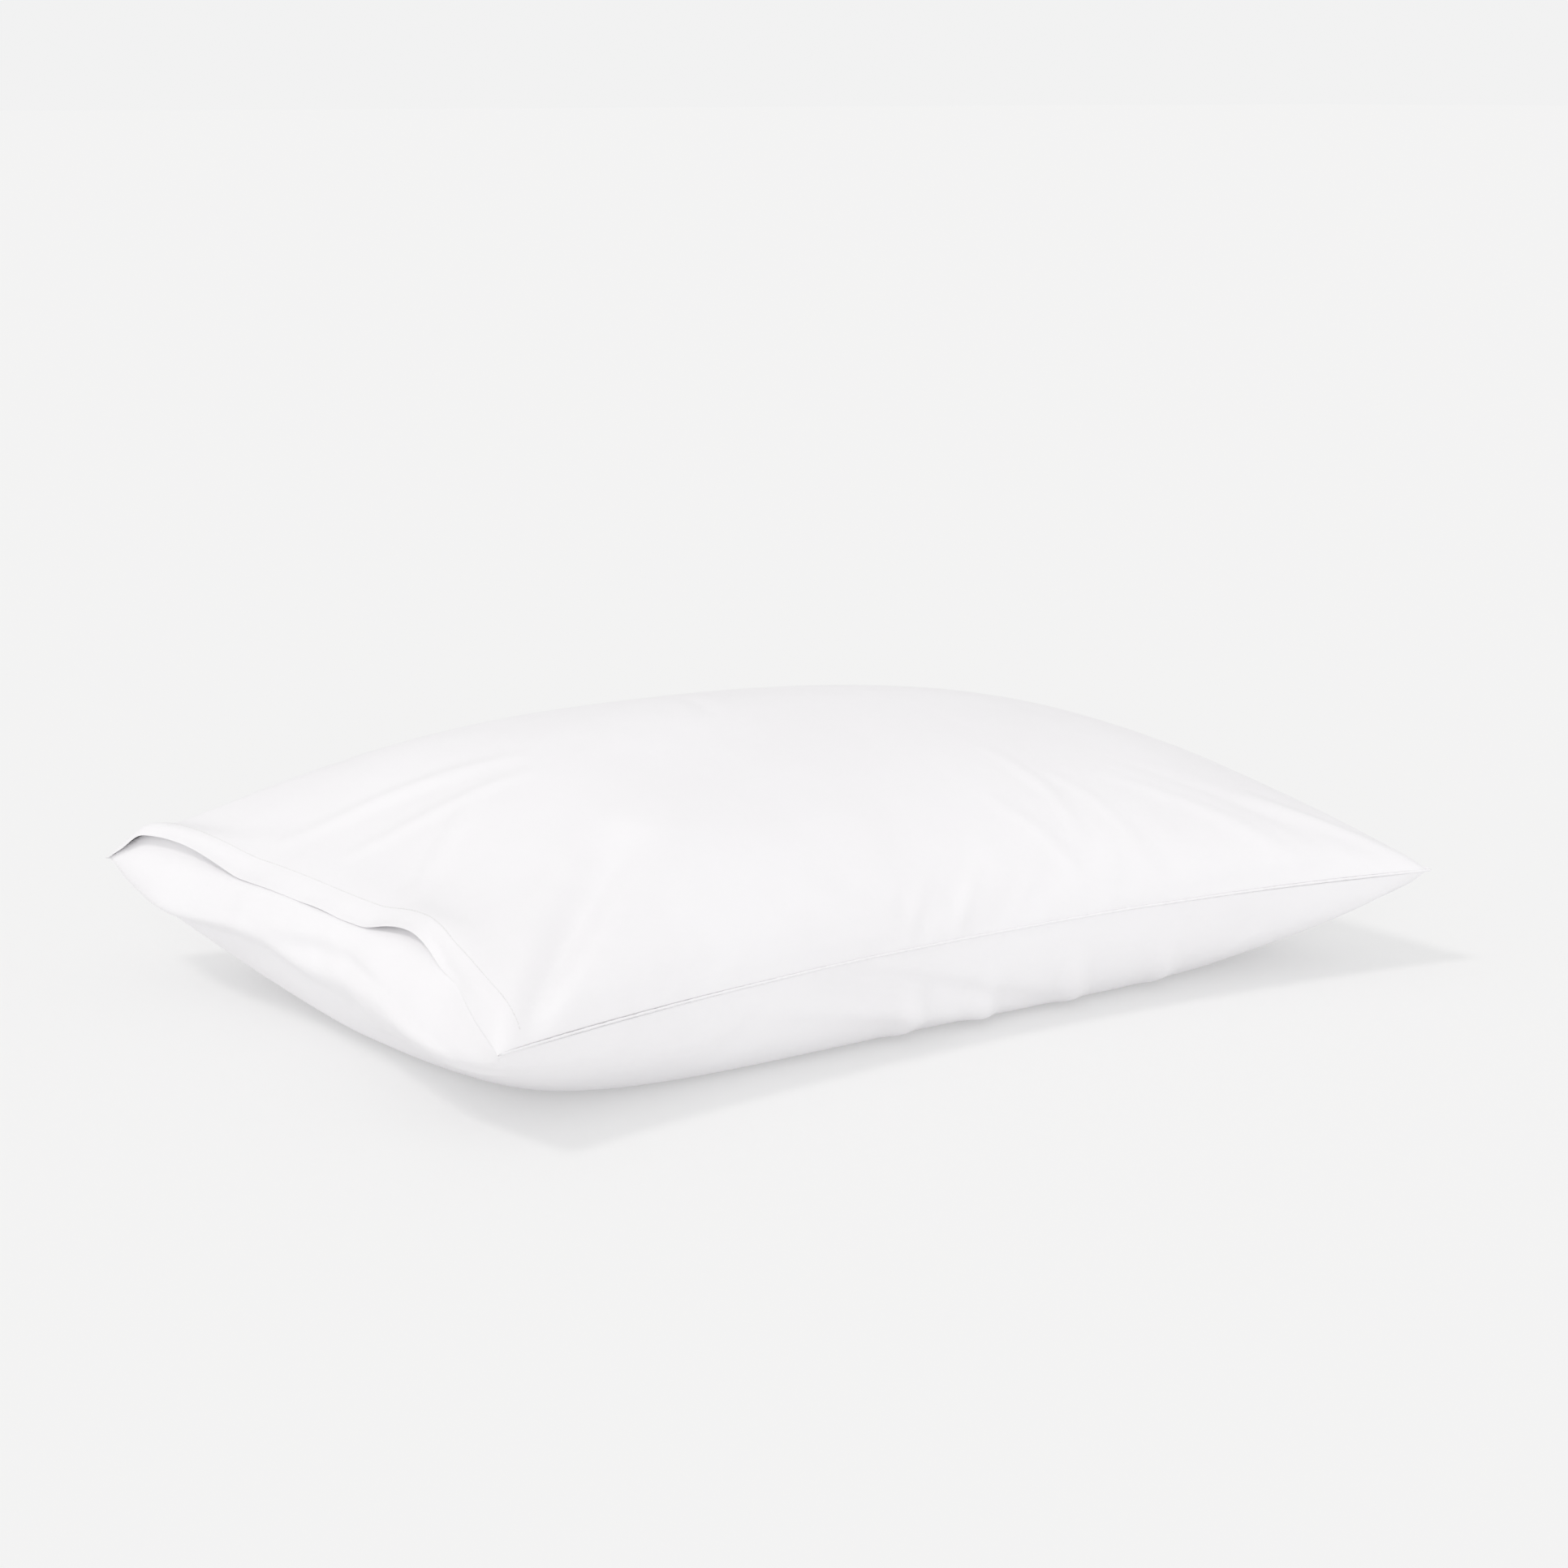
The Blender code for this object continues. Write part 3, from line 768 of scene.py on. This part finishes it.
# %% Insert
INSERT_INSET, INSERT_DROP, INSERT_SUNK = 0.022, 0.010, 0.004
TICKING_WALL = 0.0008
FILL_GAP = 0.0012
FILL_INSET = 0.003
RIM_POWER = 4
CORD_RADIUS, CORD_STEP = 0.0012, 0.004
INSERT_CELLS_LONG, INSERT_CELLS_WIDE = 72, 48
CLOSED_CELLS = slice(14, 35)
CLOSING_OFFSET, CLOSING_NORMAL = (0.0010, 0, 0.0006), (0.6, 0.0, 0.8)


def insert_grids(inset, drop, sunk):
    """The top and under faces of the form on an even grid, drawn in by the inset and lowered."""
    edge_s = np.sin(np.linspace(-1, 1, INSERT_CELLS_LONG + 1) * math.pi / 2)
    edge_t = np.sin(np.linspace(-1, 1, INSERT_CELLS_WIDE + 1) * math.pi / 2)
    s, t = np.meshgrid(edge_s, edge_t, indexing="ij")
    upper = top_form(s, t, inset, drop)
    lower = under_form(s, t, inset, sunk)
    rim = 1 - under_swell(s, t)
    lower[..., 2] -= drop * np.clip(rim, 0, 1) ** RIM_POWER
    upper[..., 2] = np.maximum(upper[..., 2], lower[..., 2])
    places = np.stack([s * (HALF_X - inset), t * (HALF_Y - inset)], axis=-1)
    return upper, lower, places


upper, lower, insert_places = insert_grids(INSERT_INSET, INSERT_DROP, INSERT_SUNK)
ticking_top = sheet_object("insert_ticking_top_cloth", upper, insert_places, wall=TICKING_WALL)
ticking_under = sheet_object("insert_ticking_bottom_cloth", lower, insert_places, flipped=True,
                             wall=TICKING_WALL)
rim_loop = np.concatenate([upper[:, 0], upper[-1, 1:], upper[-2::-1, -1], upper[0, -2:0:-1]])
insert_seam = tube_object("insert_edge_seam_cord", rim_loop, radius=CORD_RADIUS, step=CORD_STEP)
closing = upper[-1, CLOSED_CELLS]
closing_stitch = stitch_row("insert_closing_stitch_thread", closing + CLOSING_OFFSET,
                            np.tile(CLOSING_NORMAL, (len(closing), 1)))


def closed_lump(name, upper, lower):
    """Two grids that share their edge points, as one closed mesh."""
    shape = upper.shape[:2]
    top = np.arange(shape[0] * shape[1]).reshape(shape)
    under = top.copy()
    inner = (shape[0] - 2) * (shape[1] - 2)
    under[1:-1, 1:-1] = top.size + np.arange(inner).reshape(shape[0] - 2, shape[1] - 2)
    points = np.concatenate([upper.reshape(-1, 3), lower[1:-1, 1:-1].reshape(-1, 3)])
    made = mesh_object(name, points, np.concatenate([quads(top), quads(under, flipped=True)]))
    return finish_mesh(made, wall=0)


fill_upper, fill_lower, _ = insert_grids(INSERT_INSET + FILL_INSET, INSERT_DROP + FILL_GAP + TICKING_WALL,
                                         INSERT_SUNK + FILL_GAP + TICKING_WALL)
fill = closed_lump("insert_fill_fibre", fill_upper, fill_lower)

# %% [markdown]
# ## Labels
#
# The case and the insert each carry a small care label, which is left blank. Each is a strip of
# woven tape laid on the form where the frame has it, under the layer that covers it.

# %% Labels
LABEL_WALL = 0.0003
LABEL_CELLS = (8, 6)
LABEL_SIDE_INSET = 0.01
CASE_LABEL_DEPTH, INSERT_LABEL_DEPTH = 0.0060, 0.0085


def label(name, node, sunk):
    """A small sheet over a node's plan box, at the top form's height less the depth given."""
    low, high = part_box(node)
    middle_x, middle_y = (low[0] + high[0]) / 2, (low[1] + high[1]) / 2
    half_x, half_y = (high[0] - low[0]) / 2, (high[1] - low[1]) / 2
    x, y = np.meshgrid(np.linspace(-half_x, half_x, LABEL_CELLS[0] + 1),
                       np.linspace(-half_y, half_y, LABEL_CELLS[1] + 1), indexing="ij")
    s, t = (middle_x + x) / HALF_X, (middle_y + y) / (HALF_Y - LABEL_SIDE_INSET)
    z = top_form(s, t)[..., 2] - sunk
    points = np.stack([middle_x + x, middle_y + y, z], axis=-1)
    return sheet_object(name, points, np.stack([x, y], -1), wall=LABEL_WALL)


case_label = label("case_care_label_tape", "case_care_label", CASE_LABEL_DEPTH)
insert_label = label("insert_care_label_tape", "insert_care_label", INSERT_LABEL_DEPTH)

# %% [markdown]
# ## Finishes
#
# The case is white percale: a plain weave of fine cotton, matt, with a faint bloom where light grazes
# it. Its weave reads the cut's UV map, so the threads run true over every fold. Two soft noises add
# what washing leaves: shallow crumples in the surface, and a very slight unevenness of the white.

# %% Material helpers
def new_material(name, colour, roughness):
    """A material with its shader's colour and roughness set, and the node tree to add to."""
    made = bpy.data.materials.new(name)
    made.use_nodes = True
    tree = made.node_tree
    shader = tree.nodes["Principled BSDF"]
    shader.inputs["Base Color"].default_value = (*colour, 1)
    shader.inputs["Roughness"].default_value = roughness
    shader.inputs["Specular IOR Level"].default_value = 0.25
    return made, tree, shader


def math_node(tree, operation, first, second=None):
    """A Math node; each input is a socket or a number."""
    node = tree.nodes.new("ShaderNodeMath")
    node.operation = operation
    for slot, value in enumerate((first, second)):
        if value is None:
            continue
        if isinstance(value, (int, float)):
            node.inputs[slot].default_value = value
        else:
            tree.links.new(value, node.inputs[slot])
    return node.outputs[0]


def weave_height(tree, pitch):
    """Plain weave over the cut: |sin| of the weft where warp * weft is over 0, else of the warp."""
    uv = tree.nodes.new("ShaderNodeUVMap")
    uv.uv_map = "cut"
    split = tree.nodes.new("ShaderNodeSeparateXYZ")
    tree.links.new(uv.outputs["UV"], split.inputs[0])
    turns = math.pi / pitch
    warp = math_node(tree, "SINE", math_node(tree, "MULTIPLY", split.outputs["X"], turns))
    weft = math_node(tree, "SINE", math_node(tree, "MULTIPLY", split.outputs["Y"], turns))
    over = math_node(tree, "GREATER_THAN", math_node(tree, "MULTIPLY", warp, weft), 0.0)
    mix = tree.nodes.new("ShaderNodeMix")
    tree.links.new(over, mix.inputs["Factor"])
    tree.links.new(math_node(tree, "ABSOLUTE", warp), mix.inputs["A"])
    tree.links.new(math_node(tree, "ABSOLUTE", weft), mix.inputs["B"])
    return mix.outputs["Result"]


def noise(tree, scale, detail, stretch=(1, 1, 1), turn=0.0):
    """Noise on Object coordinates, stretched and turned by a Mapping node."""
    place = tree.nodes.new("ShaderNodeTexCoord")
    mapping = tree.nodes.new("ShaderNodeMapping")
    mapping.inputs["Scale"].default_value = stretch
    mapping.inputs["Rotation"].default_value = (0, 0, turn)
    tree.links.new(place.outputs["Object"], mapping.inputs["Vector"])
    made = tree.nodes.new("ShaderNodeTexNoise")
    made.inputs["Scale"].default_value = scale
    made.inputs["Detail"].default_value = detail
    made.inputs["Roughness"].default_value = 0.55
    tree.links.new(mapping.outputs["Vector"], made.inputs["Vector"])
    return made.outputs["Fac"]


def bump(tree, height, distance, strength=1.0, under=None):
    """A Bump node on a height, over another bump's normal if one is given."""
    node = tree.nodes.new("ShaderNodeBump")
    node.inputs["Distance"].default_value = distance
    node.inputs["Strength"].default_value = strength
    tree.links.new(height, node.inputs["Height"])
    if under is not None:
        tree.links.new(under, node.inputs["Normal"])
    return node.outputs["Normal"]


def mottle(tree, shader, fac, light, dark):
    """Colours the shader between two near shades by a factor."""
    ramp = tree.nodes.new("ShaderNodeValToRGB")
    ramp.color_ramp.elements[0].position, ramp.color_ramp.elements[1].position = 0.35, 0.65
    ramp.color_ramp.elements[0].color = (*dark, 1)
    ramp.color_ramp.elements[1].color = (*light, 1)
    tree.links.new(fac, ramp.inputs["Fac"])
    tree.links.new(ramp.outputs["Color"], shader.inputs["Base Color"])


# %% Percale
PERCALE_LIGHT, PERCALE_DARK = (0.905, 0.897, 0.911), (0.888, 0.878, 0.892)


def percale():
    """White percale: weave, pressed-in creases and crumples, mottled white, a slight bloom."""
    made, tree, shader = new_material("white percale", PERCALE_LIGHT, 0.82)
    mottle(tree, shader, noise(tree, 9, 3), PERCALE_LIGHT, PERCALE_DARK)
    crumple = bump(tree, noise(tree, 26, 3, stretch=(1, 0.45, 1), turn=0.6), 0.0016, 0.55)
    crease = bump(tree, noise(tree, 90, 4, stretch=(0.5, 1, 1), turn=-0.4), 0.0004, 0.5, crumple)
    woven = bump(tree, weave_height(tree, 0.00036), 0.00004, 0.6, crease)
    tree.links.new(woven, shader.inputs["Normal"])
    shader.inputs["Sheen Weight"].default_value = 0.12
    shader.inputs["Sheen Roughness"].default_value = 0.5
    return made


def ticking():
    """Down-proof ticking: a denser, smoother weave, warmer than the case."""
    made, tree, shader = new_material("cotton ticking", (0.80, 0.785, 0.75), 0.7)
    mottle(tree, shader, noise(tree, 14, 2), (0.81, 0.795, 0.76), (0.78, 0.765, 0.73))
    tree.links.new(bump(tree, weave_height(tree, 0.0005), 0.00006, 0.7), shader.inputs["Normal"])
    shader.inputs["Sheen Weight"].default_value = 0.1
    return made


def fibre():
    """Hollow fibre: clumps and fine strands, very rough."""
    made, tree, shader = new_material("hollow fibre", (0.85, 0.85, 0.84), 0.95)
    mottle(tree, shader, noise(tree, 40, 6), (0.88, 0.88, 0.87), (0.78, 0.78, 0.77))
    strands = bump(tree, noise(tree, 260, 8, stretch=(1, 0.2, 1)), 0.001, 0.9)
    tree.links.new(strands, shader.inputs["Normal"])
    shader.inputs["Sheen Weight"].default_value = 0.3
    return made


def thread():
    """Mercerised sewing thread: the twist shows as fine slanting bands."""
    made, tree, shader = new_material("sewing thread", (0.87, 0.865, 0.86), 0.5)
    twist = noise(tree, 900, 2, stretch=(1, 0.3, 1), turn=0.8)
    mottle(tree, shader, twist, (0.88, 0.875, 0.87), (0.80, 0.795, 0.79))
    tree.links.new(bump(tree, twist, 0.00006, 0.6), shader.inputs["Normal"])
    return made


def tape():
    """Woven label tape: close ribs, slightly shiny."""
    made, tree, shader = new_material("label tape", (0.86, 0.86, 0.85), 0.45)
    mottle(tree, shader, noise(tree, 120, 2), (0.87, 0.87, 0.86), (0.82, 0.82, 0.81))
    tree.links.new(bump(tree, weave_height(tree, 0.0004), 0.00006, 0.6), shader.inputs["Normal"])
    return made


# %% Dress the pieces
FINISHES = {"percale": percale(), "thread": thread(), "label": tape(), "ticking": ticking(),
            "fibre": fibre()}
WHITE_PIECES = [top_panel, lower_panel, tuck_flap, flap_hem, near_seam, far_seam, end_seam]
PIECES = {"percale": WHITE_PIECES, "thread": [hem_stitches, closing_stitch],
          "label": [case_label, insert_label], "ticking": [ticking_top, ticking_under, insert_seam],
          "fibre": [fill]}
for slot, made_of_it in PIECES.items():
    for piece in made_of_it:
        piece.data.materials.clear()
        piece.data.materials.append(FINISHES[slot])

# %% [markdown]
# ## Ride and replace
#
# Every piece rides on the part's root body. Each one stands
# for the plain solid of the frame that holds its place.

# %% Ride on the frame
STANDS_FOR = {
    top_panel: ("case_top_panel", "case_mouth_hem"), lower_panel: ("case_bottom_panel",),
    tuck_flap: ("case_tuck_flap",), flap_hem: ("case_flap_hem",),
    near_seam: ("case_front_seam",), far_seam: ("case_rear_seam",), end_seam: ("case_end_seam",),
    hem_stitches: ("mouth_hem_stitch",), case_label: ("case_care_label",),
    ticking_top: ("insert_ticking_top",), ticking_under: ("insert_ticking_bottom",),
    insert_seam: ("insert_edge_seam",), closing_stitch: ("insert_closing_stitch",),
    insert_label: ("insert_care_label",), fill: ("insert_fill",),
}
for piece, nodes in STANDS_FOR.items():
    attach(piece, "root")
    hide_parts(*nodes)
    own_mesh(piece)

print(len(STANDS_FOR), "pieces ride on the frame")

# %% [markdown]
# ## Floor, light and camera
#
# The pillow lies on a light table: a pale floor that glows a little, so that the shadows stay light
# and the underside is filled from below. The sky that is seen has the floor's tone, so there is no
# horizon. A key lamp from the upper left lays the shadow to the right, and a broad, low fill from
# the front keeps the side seams readable.

# %% Floor
FLOOR_REACH, FLOOR_TOP = 60.0, -0.0002
FLOOR_ALBEDO, FLOOR_GLOW = 0.66, 0.243
index = np.arange(4).reshape(2, 2)
corners = [[x, y, FLOOR_TOP] for x in (-FLOOR_REACH, FLOOR_REACH) for y in (-FLOOR_REACH, FLOOR_REACH)]
floor = mesh_object("studio_floor", corners, quads(index))
floor_finish, _, floor_shader = new_material("light table", (FLOOR_ALBEDO,) * 3, 0.9)
floor_shader.inputs["Specular IOR Level"].default_value = 0.0
floor_shader.inputs["Emission Color"].default_value = (1, 1, 1, 1)
floor_shader.inputs["Emission Strength"].default_value = FLOOR_GLOW
floor.data.materials.append(floor_finish)

# %% Lights
SEEN_SKY, LIGHT_SKY = (0.887, 0.887, 0.887), (0.828, 0.828, 0.828)


def studio_world():
    """A pale sky: the tone that is seen matches the floor, and the light it gives is softer."""
    world = bpy.data.worlds.new("studio")
    world.use_nodes = True
    tree = world.node_tree
    path = tree.nodes.new("ShaderNodeLightPath")
    mix = tree.nodes.new("ShaderNodeMix")
    mix.data_type = "RGBA"
    mix.inputs["A"].default_value = (*LIGHT_SKY, 1)
    mix.inputs["B"].default_value = (*SEEN_SKY, 1)
    tree.links.new(path.outputs["Is Camera Ray"], mix.inputs["Factor"])
    tree.links.new(mix.outputs["Result"], tree.nodes["Background"].inputs["Color"])
    return world


def soft_sun(name, power, colour, size, elevation, azimuth):
    """A sun lamp shining from an elevation and an azimuth, in degrees; azimuth 0 is along +Y."""
    lamp = bpy.data.lights.new(name, "SUN")
    lamp.energy = power
    lamp.color = colour
    lamp.angle = math.radians(size)
    made = bpy.data.objects.new(name, lamp)
    made.rotation_euler = (math.radians(90 - elevation), 0, math.radians(azimuth))
    bpy.context.scene.collection.objects.link(made)


bpy.context.scene.world = studio_world()
soft_sun("key from the left", power=0.48, colour=(1.0, 0.975, 0.955), size=12, elevation=56, azimuth=-90)
soft_sun("fill from the front", power=0.78, colour=(1.0, 0.995, 1.0), size=40, elevation=8, azimuth=-35)

# %% Camera
AZIMUTH, ELEVATION, DISTANCE = math.radians(-35.3), math.radians(13.34), 2.0
TARGET = np.array([0, 0, 0.07])
SHIFT_RIGHT, SHIFT_UP = 0.0094, 0.0468
back = np.array([math.sin(AZIMUTH) * math.cos(ELEVATION), -math.cos(AZIMUTH) * math.cos(ELEVATION),
                 math.sin(ELEVATION)])
camera_data = bpy.data.cameras.new("camera")
camera_data.sensor_width = 36
camera_data.lens = 75
camera_data.shift_x, camera_data.shift_y = SHIFT_RIGHT, SHIFT_UP
camera = bpy.data.objects.new("camera", camera_data)
camera.location = TARGET + DISTANCE * back
camera.rotation_euler = (math.pi / 2 - ELEVATION, 0, AZIMUTH)
bpy.context.scene.collection.objects.link(camera)
bpy.context.scene.camera = camera
bpy.context.scene.view_settings.view_transform = "Standard"
print("camera", [round(c, 3) for c in camera.location])
